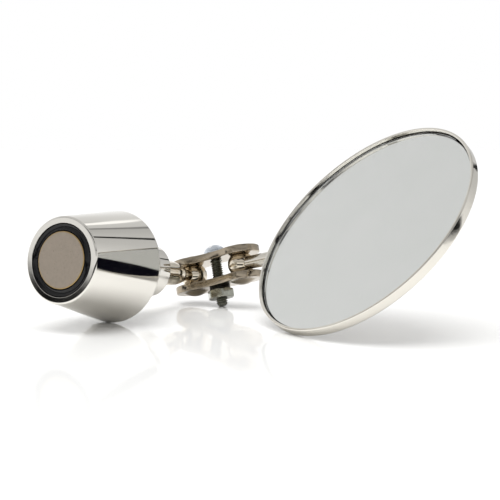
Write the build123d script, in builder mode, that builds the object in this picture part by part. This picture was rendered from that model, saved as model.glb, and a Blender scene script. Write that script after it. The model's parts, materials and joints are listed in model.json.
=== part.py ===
"""Magnetic-base swivel inspection mirror.

A conical chrome pot magnet carries a ball stud. A link of two stamped plates, clamped by one screw
and nut, grips that ball and a second ball on the end of a straight rod. The rod runs along the back
of a round mirror in a shallow pan. The set lies on a floor on three points: the rear rim of the pot,
the tip of the clamp screw and the lowest point of the mirror pan. Millimetres, +Z up, floor at Z = 0,
origin under the middle of the whole set.
"""

import os
from math import asin, cos, hypot, radians, sin, sqrt

from build123d import *

os.makedirs("parts", exist_ok=True)

# ---------------------------------------------------------------- driving dimensions
# resting pose of the three groups
set_middle = (-0.669, 370.461)  # the middle of the footprint in the layout's own X and Y
pot_face_xy = (-58.193, 347.328)  # centre of the magnet face
pot_heading = 59.80  # pot axis, from the face to the stud, measured from +X
pot_dip = 9.5  # how far that axis dips below the level
link_heading = -27.44  # from the stud ball to the rod ball
link_climb = 15.4
link_roll = -10.14  # turn of the screw axis about the link's length, head leaning back
rod_heading = -46.23  # from the rod ball to the middle of the mirror
rod_climb = 12.68
mirror_roll = 46.99  # turn of the mirror about its rod

# pot magnet
magnet_r = 9.0
magnet_len = 12.0
resin_r = 11.55
resin_recess = 0.2
keeper_len = 5.0
shell_front_r = 13.65
shell_rear_r = 18.62
shell_len = 27.7
shell_front_round = 0.7
shell_rear_round = 0.9
rim_round_loss = 0.155  # what the rounding takes off the rim where it meets the floor
shell_bore_depth = magnet_len + keeper_len  # the stepped bore that holds magnet and keeper
cavity_r = 14.6
cap_spigot_len = 4.0
boss_r = 9.0
shoulder_end = 41.0
boss_end = 47.7
boss_round = 0.7

# ball joints
ball_r = 4.7625  # 3/8 inch steel balls
ball_a_from_face = 76.33
cup_gap = 0.02  # between a ball and the end of the round bar that carries it
socket_gap = 0.03  # running clearance of a ball in its sockets
stud_root_r = 6.0
stud_mid_r = 4.2
stud_throat_r = 3.35
stud_neck_r = 2.0
stud_mid_at = 61.4
stud_throat_at = 65.6
stud_neck_at = 69.2
stud_spigot_r = 3.0
stud_spigot_len = 12.0

# clamp link
ball_pitch = 20.0
half_gap = 3.4
plate_t = 2.6
end_r = 7.3
waist_half = 5.6
plate_edge = 0.45
screw_hole_r = 2.25
thread_r = 2.083  # 8-32 machine screw
thread_root_r = 1.60
thread_pitch = 0.79375
screw_len = 19.05
head_r = 4.0
head_h = 3.4
head_side = 1.0  # straight side of the head, below its dome
slot_w = 1.2
slot_d = 1.3
washer_r = 3.7  # split lock washer
washer_bore_r = 2.2
washer_t = 1.2
washer_split = 0.6
nut_flats = 8.73
nut_t = 3.2
nut_bore_r = 2.13
nut_turn = 9.2  # where one corner points, from the rod end of the link
nut_chamfer = 0.42

# mirror head
pan_r = 41.275  # 3 1/4 inch mirror
pan_h = 3.3
lip_w = 0.95
pan_floor_t = 0.6
pan_back_round = 0.5
pad_t = 0.25
pad_hole_r = 13.0
coat_t = 0.05
glass_r = 40.15
glass_t = 1.1
glass_bevel = 0.25
rod_r = 2.38125  # 3/16 inch rod
rod_offset = 2.6  # rod axis behind the pan's back
ball_b_to_middle = 61.7
rod_past_middle = 9.0
saddle_len = 15.0
saddle_half_w = 9.2
saddle_t = 1.0
saddle_gap = 0.03
rivet_r = 1.0
rivet_head_r = 1.9
rivet_head_h = 0.8
rivet_x = 4.6
rivet_y = 6.5
rivet_tail_r = 1.6
rivet_tail_h = 0.2


# ---------------------------------------------------------------- layout
def along(heading, climb):
    """Unit vector from a compass heading and a climb angle."""
    a, b = radians(heading), radians(climb)
    return Vector(cos(b) * cos(a), cos(b) * sin(a), sin(b))


def turned(v, axis, degrees):
    """A vector turned about an axis through the origin."""
    return v.rotate(Axis((0, 0, 0), tuple(axis)), degrees)


up = Vector(0, 0, 1)

# the pot rests on its rear rim, so its face height follows from the rim's radius and the dip
pot_dir = along(pot_heading, -pot_dip)
rim_low = shell_rear_r * cos(radians(pot_dip)) + (shell_len - shell_rear_round) * sin(radians(pot_dip))
rim_low = rim_low - rim_round_loss
pot_face = Vector(pot_face_xy[0] - set_middle[0], pot_face_xy[1] - set_middle[1], rim_low)
pot_side = up.cross(pot_dir).normalized()
pot_half = Plane(origin=pot_face, x_dir=pot_side, z_dir=pot_side.cross(pot_dir))
pot_axis = Axis(pot_face, pot_dir)
ball_a = pot_face + pot_dir * ball_a_from_face

link_dir = along(link_heading, link_climb)
level_side = up.cross(link_dir).normalized()
link_up = turned(link_dir.cross(level_side), link_dir, link_roll)
link_mid = ball_a + link_dir * (ball_pitch / 2)
link_plane = Plane(origin=link_mid, x_dir=link_dir, z_dir=link_up)
ball_b = ball_a + link_dir * ball_pitch

rod_dir = along(rod_heading, rod_climb)
rod_side = up.cross(rod_dir).normalized()
mirror_up = turned(rod_dir.cross(rod_side), rod_dir, mirror_roll)
mirror_mid = ball_b + rod_dir * ball_b_to_middle + mirror_up * (rod_offset + pan_h)
mirror_plane = Plane(origin=mirror_mid, x_dir=rod_dir, z_dir=mirror_up)
mirror_half = Plane(origin=mirror_mid, x_dir=rod_dir, z_dir=rod_dir.cross(mirror_up))
mirror_axis = Axis(mirror_mid, mirror_up)


def finish(built, name):
    """Name a finished piece and write it out."""
    built.part.label = name
    export_step(built.part, f"parts/{name}.step")


# ---------------------------------------------------------------- pot magnet
cone_slope = (shell_rear_r - shell_front_r) / shell_len

# round magnet whose bare face is the foot of the whole tool
with BuildPart() as magnet_disc:
    with BuildSketch(pot_half):
        with BuildLine():
            Polyline((0, 0), (magnet_r, 0), (magnet_r, magnet_len), (0, magnet_len), close=True)
        make_face()
    revolve(axis=pot_axis)
    fillet(magnet_disc.edges().group_by(SortBy.LENGTH)[-1].sort_by(pot_axis)[0], 0.25)
finish(magnet_disc, "magnet_disc")

# black potting resin poured round the magnet, a little below flush
with BuildPart() as resin_ring:
    with BuildSketch(pot_half):
        with BuildLine():
            Polyline(
                (magnet_r, resin_recess),
                (resin_r, resin_recess),
                (resin_r, magnet_len),
                (magnet_r, magnet_len),
                close=True,
            )
        make_face()
    revolve(axis=pot_axis)
finish(resin_ring, "resin_ring")

# soft iron keeper behind the magnet, out of sight
with BuildPart() as keeper_disc:
    with BuildSketch(pot_half):
        with BuildLine():
            Polyline(
                (0, magnet_len),
                (resin_r, magnet_len),
                (resin_r, shell_bore_depth),
                (0, shell_bore_depth),
                close=True,
            )
        make_face()
    revolve(axis=pot_axis)
finish(keeper_disc, "keeper_disc")

# conical shell, open at the front round the magnet and at the back for the cap
cap_seat = shell_len - cap_spigot_len
with BuildPart() as pot_shell:
    with BuildSketch(pot_half):
        with BuildLine():
            Polyline(
                (resin_r, 0),
                (shell_front_r, 0),
                (shell_rear_r, shell_len),
                (cavity_r, shell_len),
                (cavity_r, shell_bore_depth + 3.0),
                (6.0, shell_bore_depth + 3.0),
                (6.0, shell_bore_depth),
                (resin_r, shell_bore_depth),
                close=True,
            )
        make_face()
    revolve(axis=pot_axis)
    rims = pot_shell.edges().filter_by(GeomType.CIRCLE)
    front_rim = [e for e in rims if abs(e.radius - shell_front_r) < 0.01]
    rear_rim = [e for e in rims if abs(e.radius - shell_rear_r) < 0.01]
    fillet(front_rim, shell_front_round)
    fillet(rear_rim, shell_rear_round)
finish(pot_shell, "pot_shell")

# back cap: a spigot in the shell, a sloping shoulder and the round boss of the stud
shoulder_r = shell_rear_r - 1.6
with BuildPart() as rear_cap:
    with BuildSketch(pot_half):
        with BuildLine():
            Polyline(
                (stud_spigot_r, cap_seat),
                (cavity_r, cap_seat),
                (cavity_r, shell_len),
                (shoulder_r, shell_len),
                (boss_r, shoulder_end),
                (boss_r, boss_end),
                (stud_spigot_r, boss_end),
                close=True,
            )
        make_face()
    revolve(axis=pot_axis)
    steps = rear_cap.edges().filter_by(GeomType.CIRCLE)
    boss_rims = [e for e in steps if abs(e.radius - boss_r) < 0.01]
    fillet(boss_rims, boss_round)
finish(rear_cap, "rear_cap")

# ball stud: a spigot in the boss, a trumpet that thins to the neck, and a hollowed end for the ball
neck_end = ball_a_from_face - sqrt((ball_r + cup_gap) ** 2 - stud_neck_r**2)
with BuildPart() as ball_stud:
    with BuildSketch(pot_half):
        with BuildLine():
            Line((0, boss_end - stud_spigot_len), (stud_spigot_r - 0.03, boss_end - stud_spigot_len))
            Line((stud_spigot_r - 0.03, boss_end - stud_spigot_len), (stud_spigot_r - 0.03, boss_end))
            Line((stud_spigot_r - 0.03, boss_end), (stud_root_r, boss_end))
            Spline(
                (stud_root_r, boss_end),
                (stud_mid_r, stud_mid_at),
                (stud_throat_r, stud_throat_at),
                (stud_neck_r, stud_neck_at),
                tangents=[(-0.25, 1), (0, 1)],
            )
            Line((stud_neck_r, stud_neck_at), (stud_neck_r, neck_end))
            ThreePointArc(
                (stud_neck_r, neck_end),
                (
                    stud_neck_r / 2,
                    ball_a_from_face - sqrt((ball_r + cup_gap) ** 2 - (stud_neck_r / 2) ** 2),
                ),
                (0, ball_a_from_face - ball_r - cup_gap),
            )
            Line((0, ball_a_from_face - ball_r - cup_gap), (0, boss_end - stud_spigot_len))
        make_face()
    revolve(axis=pot_axis)
finish(ball_stud, "ball_stud")

# ball of the stud
with BuildPart() as stud_ball:
    with Locations(ball_a):
        Sphere(ball_r)
finish(stud_ball, "stud_ball")


# ---------------------------------------------------------------- clamp link
waist_r = ((ball_pitch / 2) ** 2 + waist_half**2 - end_r**2) / (2 * (end_r - waist_half))
waist_y = waist_r + waist_half
reach = hypot(ball_pitch / 2, waist_y)
tangent_x = ball_pitch / 2 - end_r * (ball_pitch / 2) / reach
tangent_y = end_r * waist_y / reach
half_pitch = ball_pitch / 2


def clamp_plate(side):
    """One stamped plate with a domed socket over each ball. side is 1 above the balls, -1 below."""
    inner = Plane(origin=link_mid + link_up * (side * half_gap), x_dir=link_dir, z_dir=link_up * side)
    dome_outer_r = ball_r + socket_gap + plate_t
    with BuildPart() as plate:
        with BuildSketch(inner):
            with Locations((-half_pitch, 0), (half_pitch, 0)):
                Circle(end_r)
            Rectangle(2 * tangent_x, 2 * tangent_y)
            with Locations((0, waist_y), (0, -waist_y)):
                Circle(waist_r, mode=Mode.SUBTRACT)
        extrude(amount=plate_t)
        long_edges = [e for e in plate.edges() if abs(e.center().Z) > -1 and e.length > 6]
        fillet(long_edges, plate_edge)
        with Locations(ball_a, ball_b):
            Sphere(dome_outer_r)
        with BuildSketch(inner):
            Rectangle(80, 80)
        extrude(amount=-30, mode=Mode.SUBTRACT)
        with Locations(ball_a, ball_b):
            Sphere(ball_r + socket_gap, mode=Mode.SUBTRACT)
        with BuildSketch(inner):
            Circle(screw_hole_r)
        extrude(amount=plate_t + 5, mode=Mode.SUBTRACT)
    return plate


upper_plate = clamp_plate(1)
finish(upper_plate, "upper_plate")
lower_plate = clamp_plate(-1)
finish(lower_plate, "lower_plate")

# clamp screw: round head with a slot, threaded over its whole length
link_half = Plane(origin=link_mid, x_dir=link_dir, z_dir=link_dir.cross(link_up))
screw_axis = Axis(link_mid, link_up)
seat = half_gap + plate_t
thread_run = screw_len - 0.6
turns = int(thread_run / thread_pitch)
thread_top = seat - (thread_run - turns * thread_pitch)
crests = []
for i in range(turns):
    base = thread_top - i * thread_pitch
    crests.append((thread_root_r, base))
    crests.append((thread_r, base - thread_pitch * 0.42))
    crests.append((thread_r, base - thread_pitch * 0.58))
tip = seat - screw_len
dome_h = head_h - head_side
dome_r = (head_r**2 + dome_h**2) / (2 * dome_h)
dome_turn = asin(head_r / dome_r)
with BuildPart() as clamp_screw:
    with BuildSketch(link_half):
        with BuildLine():
            ThreePointArc(
                (0, seat + head_h),
                (dome_r * sin(dome_turn / 2), seat + head_h - dome_r * (1 - cos(dome_turn / 2))),
                (head_r, seat + head_side),
            )
            Polyline((head_r, seat + head_side), (head_r, seat), (thread_root_r, seat), *crests)
            Polyline(
                crests[-1],
                (thread_root_r, thread_top - turns * thread_pitch),
                (thread_root_r, tip + 0.35),
                (thread_root_r - 0.35, tip),
                (0, tip),
                (0, seat + head_h),
            )
        make_face()
    revolve(axis=screw_axis)
    with BuildSketch(link_plane.offset(seat + head_h)):
        Rectangle(slot_w, 4 * head_r)
    extrude(amount=-slot_d, mode=Mode.SUBTRACT)
finish(clamp_screw, "clamp_screw")

# split lock washer between the lower plate and the nut, pressed flat, its split on the far side
with BuildPart() as lock_washer:
    with BuildSketch(link_plane.offset(-seat)):
        Circle(washer_r)
        Circle(washer_bore_r, mode=Mode.SUBTRACT)
        with Locations((0, washer_r)):
            Rectangle(washer_split, 2 * washer_r, mode=Mode.SUBTRACT)
    extrude(amount=-washer_t)
finish(lock_washer, "lock_washer")

# hex nut under the washer, its corners cut back at both faces
nut_corner_r = nut_flats / sqrt(3)
nut_top = -seat - washer_t
with BuildPart() as hex_nut:
    with BuildSketch(link_plane.offset(nut_top)):
        RegularPolygon(nut_corner_r, 6, rotation=nut_turn)
        Circle(nut_bore_r, mode=Mode.SUBTRACT)
    extrude(amount=-nut_t)
    with BuildSketch(link_half):
        with BuildLine():
            Polyline(
                (0, nut_top),
                (nut_flats / 2 - 0.05, nut_top),
                (nut_corner_r + 0.05, nut_top - nut_chamfer),
                (nut_corner_r + 0.05, nut_top - nut_t + nut_chamfer),
                (nut_flats / 2 - 0.05, nut_top - nut_t),
                (0, nut_top - nut_t),
                close=True,
            )
        make_face()
    revolve(axis=screw_axis, mode=Mode.INTERSECT)
finish(hex_nut, "hex_nut")


# ---------------------------------------------------------------- mirror head
back = -pan_h
floor_top = back + pan_floor_t
pad_top = floor_top + pad_t
paint_top = pad_top + coat_t
silver_top = paint_top + coat_t
glass_top = silver_top + glass_t
rod_z = back - rod_offset
rod_axis = Axis(ball_b, rod_dir)

# ball of the rod
with BuildPart() as rod_ball:
    with Locations(ball_b):
        Sphere(ball_r)
finish(rod_ball, "rod_ball")

# straight rod from the ball to just past the middle of the mirror
rod_start = sqrt((ball_r + cup_gap) ** 2 - rod_r**2)
rod_half = Plane(origin=ball_b, x_dir=rod_side, z_dir=rod_side.cross(rod_dir))
rod_end = ball_b_to_middle + rod_past_middle
with BuildPart() as mirror_rod:
    with BuildSketch(rod_half):
        with BuildLine():
            ThreePointArc(
                (0, ball_r + cup_gap),
                (rod_r / 2, sqrt((ball_r + cup_gap) ** 2 - (rod_r / 2) ** 2)),
                (rod_r, rod_start),
            )
            Polyline(
                (rod_r, rod_start),
                (rod_r, rod_end - 0.5),
                (rod_r - 0.5, rod_end),
                (0, rod_end),
                (0, ball_r + cup_gap),
            )
        make_face()
    revolve(axis=rod_axis)
finish(mirror_rod, "mirror_rod")

# shallow pan with an upright wall; four holes for the saddle's rivets
rivet_spots = [(sx * rivet_x, sy * rivet_y) for sx in (-1, 1) for sy in (-1, 1)]
with BuildPart() as mirror_pan:
    with BuildSketch(mirror_plane.offset(back)):
        Circle(pan_r)
    extrude(amount=pan_h)
    with BuildSketch(mirror_plane.offset(floor_top)):
        Circle(pan_r - lip_w)
    extrude(amount=pan_h, mode=Mode.SUBTRACT)
    pan_rims = mirror_pan.edges().filter_by(GeomType.CIRCLE)
    outer_rims = [e for e in pan_rims if abs(e.radius - pan_r) < 0.01]
    outer_rims = sorted(outer_rims, key=lambda e: e.arc_center.Z)
    fillet(outer_rims[0], pan_back_round)
    fillet(outer_rims[-1], 0.42)
    pan_rims = mirror_pan.edges().filter_by(GeomType.CIRCLE)
    lip_rims = [e for e in pan_rims if abs(e.radius - (pan_r - lip_w)) < 0.01]
    lip_rims = sorted(lip_rims, key=lambda e: e.arc_center.Z)
    fillet(lip_rims[-1], 0.42)
    with BuildSketch(mirror_plane.offset(back - 1)):
        with Locations(*rivet_spots):
            Circle(rivet_r)
    extrude(amount=pan_floor_t + 1.5, mode=Mode.SUBTRACT)
finish(mirror_pan, "mirror_pan")

# thin foam ring that bonds the glass to the pan
with BuildPart() as glue_pad:
    with BuildSketch(mirror_plane.offset(floor_top)):
        Circle(glass_r - 1.0)
        Circle(pad_hole_r, mode=Mode.SUBTRACT)
    extrude(amount=pad_t)
finish(glue_pad, "glue_pad")

# protective paint behind the silver
with BuildPart() as back_paint:
    with BuildSketch(mirror_plane.offset(pad_top)):
        Circle(glass_r - 0.3)
    extrude(amount=coat_t)
finish(back_paint, "back_paint")

# silver layer that does the reflecting
with BuildPart() as silver_layer:
    with BuildSketch(mirror_plane.offset(paint_top)):
        Circle(glass_r - 0.3)
    extrude(amount=coat_t)
finish(silver_layer, "silver_layer")

# glass disc with a small ground bevel, sunk below the lip
with BuildPart() as mirror_glass:
    with BuildSketch(mirror_plane.offset(silver_top)):
        Circle(glass_r)
    extrude(amount=glass_t)
    chamfer(mirror_glass.edges().filter_by(GeomType.CIRCLE), glass_bevel)
finish(mirror_glass, "mirror_glass")

# stamped saddle: a half-round strap over the rod with a flat foot on each side
saddle_in = rod_r + saddle_gap
saddle_out = saddle_in + saddle_t
saddle_end = Plane(
    origin=mirror_mid + mirror_up * rod_z - rod_dir * (saddle_len / 2),
    x_dir=mirror_up.cross(rod_dir),
    z_dir=rod_dir,
)
foot_top = rod_offset
with BuildPart() as rod_saddle:
    with BuildSketch(saddle_end):
        Circle(saddle_out)
        with Locations((0, foot_top / 2)):
            Rectangle(2 * saddle_out, foot_top)
        with Locations((0, foot_top - saddle_t / 2)):
            Rectangle(2 * saddle_half_w, saddle_t)
        Circle(saddle_in, mode=Mode.SUBTRACT)
        with Locations((0, foot_top / 2)):
            Rectangle(2 * saddle_in, foot_top, mode=Mode.SUBTRACT)
        with Locations((0, foot_top + 5)):
            Rectangle(30, 10, mode=Mode.SUBTRACT)
    extrude(amount=saddle_len)
    with BuildSketch(mirror_plane.offset(back)):
        with Locations(*rivet_spots):
            Circle(rivet_r)
    extrude(amount=-3, mode=Mode.SUBTRACT)
    upright = [e for e in rod_saddle.edges().filter_by(GeomType.LINE) if abs(e.length - saddle_t) < 0.01]
    corners = [e for e in upright if abs(abs(e.tangent_at(0).dot(mirror_up)) - 1) < 0.01]
    fillet(corners, 1.6)
finish(rod_saddle, "rod_saddle")

# four rivets through the feet and the pan floor, spread flat inside the pan
with BuildPart() as saddle_rivets:
    for spot in rivet_spots:
        foot = mirror_plane.from_local_coords(Vector(spot[0], spot[1], back - saddle_t))
        rivet_half = Plane(origin=foot, x_dir=rod_dir, z_dir=rod_dir.cross(mirror_up))
        tail = saddle_t + pan_floor_t
        with BuildSketch(rivet_half):
            with BuildLine():
                ThreePointArc(
                    (0, -rivet_head_h),
                    (rivet_head_r * 0.72, -rivet_head_h * 0.62),
                    (rivet_head_r, 0),
                )
                Polyline(
                    (rivet_head_r, 0),
                    (rivet_r, 0),
                    (rivet_r, tail),
                    (rivet_tail_r, tail),
                    (rivet_tail_r, tail + rivet_tail_h),
                    (0, tail + rivet_tail_h),
                    (0, -rivet_head_h),
                )
            make_face()
        revolve(axis=Axis(foot, mirror_up))
finish(saddle_rivets, "saddle_rivets")
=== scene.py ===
"""Magnetic-base inspection mirror, dressed for looks on its CAD frame. Metres throughout."""

import json
from math import asin, atan2, cos, hypot, pi, radians, sin, sqrt, tan

import bmesh
import bpy
from mathutils import Matrix, Vector


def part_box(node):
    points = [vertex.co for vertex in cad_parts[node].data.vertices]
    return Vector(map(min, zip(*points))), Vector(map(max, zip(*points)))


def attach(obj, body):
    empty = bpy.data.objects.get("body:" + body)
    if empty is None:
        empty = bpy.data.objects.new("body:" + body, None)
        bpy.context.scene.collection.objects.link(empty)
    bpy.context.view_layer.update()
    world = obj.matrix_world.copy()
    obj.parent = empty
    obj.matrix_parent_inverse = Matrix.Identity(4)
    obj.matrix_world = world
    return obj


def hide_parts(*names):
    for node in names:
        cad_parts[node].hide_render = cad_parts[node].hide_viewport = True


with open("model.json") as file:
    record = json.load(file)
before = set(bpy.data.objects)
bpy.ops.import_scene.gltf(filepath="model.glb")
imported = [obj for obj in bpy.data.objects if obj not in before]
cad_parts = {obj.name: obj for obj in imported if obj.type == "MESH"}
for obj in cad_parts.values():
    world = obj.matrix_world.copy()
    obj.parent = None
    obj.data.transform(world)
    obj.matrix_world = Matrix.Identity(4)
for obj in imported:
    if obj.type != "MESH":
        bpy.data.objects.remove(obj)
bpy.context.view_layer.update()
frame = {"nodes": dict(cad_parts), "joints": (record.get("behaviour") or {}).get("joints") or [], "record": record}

bl_info = {
    "name": "Magnetic Inspection Mirror",
    "version": (1, 0, 0),
    "blender": (4, 5, 0),
    "location": "3D View > Sidebar > Mirror",
    "description": "Builds the visible pieces of a magnetic-base inspection mirror on its CAD frame",
    "category": "Object",
}

MM = 0.001
MICRON = 1e-6


# ---------------------------------------------------------------- places on the frame
def joint(name):
    """One joint of the frame, by name."""
    return [j for j in frame["joints"] if j["name"] == name][0]


def flat_side(node):
    """The direction that a CAD node's largest flat facet faces."""
    widest = max(frame["nodes"][node].data.polygons, key=lambda p: p.area)
    return widest.normal.copy()


def middle(node):
    """The middle of a CAD node's box."""
    low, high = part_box(node)
    return (low + high) / 2


def stand(origin, up, side):
    """A matrix whose Z runs along up and whose X lies on the side given."""
    z = Vector(up).normalized()
    y = z.cross(Vector(side)).normalized()
    turn = Matrix((y.cross(z), y, z)).transposed().to_4x4()
    return Matrix.Translation(origin) @ turn


mounts = {m["name"]: m for m in frame["record"]["mounts"]}
FACE = Vector(mounts["magnet_face"]["pos_m"])
POT_DIR = -Vector(mounts["magnet_face"]["axis"])
BALL_A = Vector(joint("link_swing")["pos_m"])
BALL_B = Vector(joint("head_swing")["pos_m"])
LINK_UP = Vector(joint("link_swing")["axis"])
LINK_DIR = (BALL_B - BALL_A).normalized()
LINK_MID = (BALL_A + BALL_B) / 2
ROD_DIR = Vector(joint("head_spin")["axis"])
ROD_POINT = Vector(joint("head_spin")["pos_m"])
GLASS_MID = middle("mirror_glass")
MIRROR_UP = flat_side("mirror_glass")
if MIRROR_UP.dot(GLASS_MID - ROD_POINT) < 0:
    MIRROR_UP = -MIRROR_UP

POT_STAND = stand(FACE, POT_DIR, Vector((0, 0, 1)))
LINK_STAND = stand(LINK_MID, LINK_UP, LINK_DIR)
ROD_STAND = stand(BALL_B, ROD_DIR, MIRROR_UP)

# between a ball and the hollow end of its bar
BALL_GAP = 0.012 * MM


# ---------------------------------------------------------------- sizes and colours a user would change
def length(name, mm, about):
    """A length property, given in millimetres."""
    return bpy.props.FloatProperty(
        name=name, description=about, default=mm * MM, min=0.0, unit="LENGTH", precision=5)


def angle(name, degrees, about):
    """An angle property, given in degrees."""
    return bpy.props.FloatProperty(name=name, description=about, default=radians(degrees), unit="ROTATION")


def count(name, default, about):
    """A whole-number property."""
    return bpy.props.IntProperty(name=name, description=about, default=default, min=3)


def linear(hex_colour):
    """An sRGB hex colour as the linear values that a shader takes."""
    parts = [int(hex_colour[i:i + 2], 16) / 255 for i in (1, 3, 5)]
    return tuple(c / 12.92 if c <= 0.04045 else ((c + 0.055) / 1.055) ** 2.4 for c in parts)


def colour(name, hex_colour, about):
    """A colour property, given as sRGB hex."""
    return bpy.props.FloatVectorProperty(
        name=name, description=about, default=linear(hex_colour), size=3, min=0.0, max=1.0, subtype="COLOR")


class PotSizes(bpy.types.PropertyGroup):
    """Sizes of the pot magnet and its stud."""

    magnet_r: length("Magnet radius", 9.0, "Radius of the round magnet")
    magnet_round: length("Magnet edge", 0.25, "Rounding of the magnet's edge")
    resin_r: length("Resin radius", 11.55, "Outer radius of the potting ring")
    resin_recess: length("Resin recess", 0.2, "How far the potting lies below the face")
    magnet_len: length("Magnet length", 12.0, "Thickness of the magnet")
    front_r: length("Front radius", 13.65, "Radius of the pot's face")
    rear_r: length("Rear radius", 18.62, "Radius of the pot's rear rim")
    shell_len: length("Shell length", 27.7, "Length of the conical shell")
    front_round: length("Front edge", 0.7, "Rounding of the front edge")
    rear_round: length("Rear edge", 0.9, "Rounding of the rear rim")
    boss_r: length("Boss radius", 9.0, "Radius of the boss behind the pot")
    shoulder_end: length("Shoulder end", 41.0, "Where the sloping shoulder meets the boss")
    boss_end: length("Boss end", 47.7, "Where the boss ends")
    boss_round: length("Boss edge", 0.7, "Rounding of the boss's edge")
    ball_r: length("Ball radius", 4.7625, "Radius of both steel balls")
    ball_at: length("Ball place", 76.33, "From the magnet's face to the middle of the stud's ball")
    stud_root_r: length("Stud root", 6.0, "Radius of the stud where it leaves the boss")
    stud_neck_r: length("Stud neck", 2.0, "Radius of the stud's neck")
    steps: count("Steps round", 192, "Facets round the turned pieces")


class LinkSizes(bpy.types.PropertyGroup):
    """Sizes of the clamp link, its screw and its nut."""

    half_gap: length("Half gap", 3.4, "From the link's middle to each plate")
    plate_t: length("Plate thickness", 2.6, "Thickness of each stamped plate")
    end_r: length("End radius", 7.3, "Radius of a plate's round ends")
    waist: length("Waist", 5.6, "Half the width of a plate at its waist")
    edge: length("Edge roll", 0.38, "Rolled edge of a plate")
    dome_blend: length("Dome blend", 0.45, "Rounding where a dome leaves its plate")
    socket_gap: length("Socket gap", 0.03, "Clearance of a ball in its socket")
    hole_r: length("Screw hole", 2.25, "Radius of the clearance hole")
    thread_r: length("Thread radius", 2.083, "Major radius of the clamp screw")
    root_r: length("Thread root", 1.60, "Minor radius of the clamp screw")
    pitch: length("Thread pitch", 0.79375, "Pitch of the clamp screw")
    screw_len: length("Screw length", 19.05, "Length of the screw under its head")
    head_r: length("Head radius", 4.0, "Radius of the screw's head")
    head_h: length("Head height", 3.4, "Height of the screw's head")
    head_side: length("Head side", 1.0, "Straight side of the head below its dome")
    slot_w: length("Slot width", 1.2, "Width of the screwdriver slot")
    slot_d: length("Slot depth", 1.3, "Depth of the screwdriver slot")
    washer_r: length("Washer radius", 3.7, "Outer radius of the lock washer")
    washer_bore_r: length("Washer bore", 2.2, "Inner radius of the lock washer")
    washer_t: length("Washer thickness", 1.2, "Thickness of the lock washer")
    washer_split: length("Washer split", 0.6, "Width of the split in the lock washer")
    nut_flats: length("Nut flats", 8.73, "Across the flats of the nut")
    nut_t: length("Nut height", 3.2, "Height of the nut")
    nut_bore_r: length("Nut bore", 2.13, "Radius of the nut's bore")
    nut_chamfer: length("Nut chamfer", 0.42, "Height of the chamfer at a nut's corner")
    nut_turn: angle("Nut turn", 9.2, "Where one corner of the nut points")


class HeadSizes(bpy.types.PropertyGroup):
    """Sizes of the mirror, its pan, its rod and the saddle."""

    pan_r: length("Pan radius", 41.275, "Outer radius of the pan")
    pan_h: length("Pan height", 3.3, "Height of the pan's wall")
    lip_w: length("Wall width", 0.95, "Width of the pan's wall")
    floor_t: length("Floor thickness", 0.6, "Thickness of the pan's floor")
    back_round: length("Back edge", 0.5, "Rounding of the pan's back edge")
    lip_round: length("Lip edge", 0.42, "Rounding of the pan's lip")
    bed: length("Glass bed", 0.90, "From the pan's back to the underside of the silver")
    silver_t: length("Silver thickness", 0.05, "Thickness of the silver layer")
    glass_r: length("Glass radius", 40.15, "Radius of the glass")
    glass_t: length("Glass thickness", 1.1, "Thickness of the glass")
    glass_bevel: length("Glass bevel", 0.25, "Ground bevel of the glass")
    rod_r: length("Rod radius", 2.38125, "Radius of the rod")
    rod_off: length("Rod offset", 2.6, "From the rod's axis to the pan's back")
    rod_len: length("Rod length", 70.7, "From the ball's middle to the rod's end")
    saddle_len: length("Saddle length", 15.0, "Length of the saddle along the rod")
    saddle_half: length("Saddle half width", 9.2, "Half the width across the feet")
    saddle_t: length("Saddle thickness", 1.0, "Thickness of the saddle's strip")
    saddle_gap: length("Saddle gap", 0.03, "Clearance of the rod in the saddle")
    rivet_x: length("Rivet place along", 4.6, "From the saddle's middle, along the rod")
    rivet_y: length("Rivet place across", 6.5, "From the saddle's middle, across the rod")
    rivet_r: length("Rivet radius", 1.0, "Radius of a rivet's shank")
    rivet_head_r: length("Rivet head", 1.9, "Radius of a rivet's head")
    rivet_head_h: length("Rivet head height", 0.8, "Height of a rivet's head")
    steps: count("Steps round", 320, "Facets round the pan")


class Finishes(bpy.types.PropertyGroup):
    """Colours of the finishes."""

    chrome: colour("Chrome", "#E4E1DA", "Bright chrome plate of the pot")
    pan_nickel: colour("Pan nickel", "#E3DFD6", "Bright nickel plate of the pan")
    plate_nickel: colour("Plate nickel", "#A99D8B", "Nickel plate of the clamp plates")
    ball_nickel: colour("Ball nickel", "#E2D8C6", "Nickel plate of the balls and stud")
    rod_nickel: colour("Rod nickel", "#DAD5CB", "Nickel plate of the drawn rod")
    magnet: colour("Magnet", "#BDB1A3", "Nickel plate of the magnet")
    resin: colour("Resin", "#08080A", "Black potting resin")
    zinc: colour("Zinc", "#D3D9E0", "Clear zinc plate of the screw's head")
    oiled_steel: colour("Oiled steel", "#94948A", "Oiled thread of the clamp screw")
    nut_nickel: colour("Nut nickel", "#B4B5AA", "Nickel plate of the nut")
    silver: colour("Silver", "#EDEEEC", "Silver layer of the mirror")
    floor: colour("Floor", "#F2F2F1", "Glossy white floor")


GROUPS = {"mirror_pot": PotSizes, "mirror_link": LinkSizes,
          "mirror_head": HeadSizes, "mirror_finish": Finishes}


# ---------------------------------------------------------------- materials
def node(tree, kind, into=None, out=0, **settings):
    """Adds a node with its settings, takes its inputs from nodes or values, and links it on."""
    made = tree.nodes.new(kind)
    inputs = settings.pop("inputs", {})
    for key, value in settings.items():
        setattr(made, key, value)
    for key, value in inputs.items():
        if isinstance(value, bpy.types.NodeSocket):
            tree.links.new(value, made.inputs[key])
        else:
            made.inputs[key].default_value = value
    if into is not None:
        tree.links.new(made.outputs[out], into)
    return made


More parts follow.
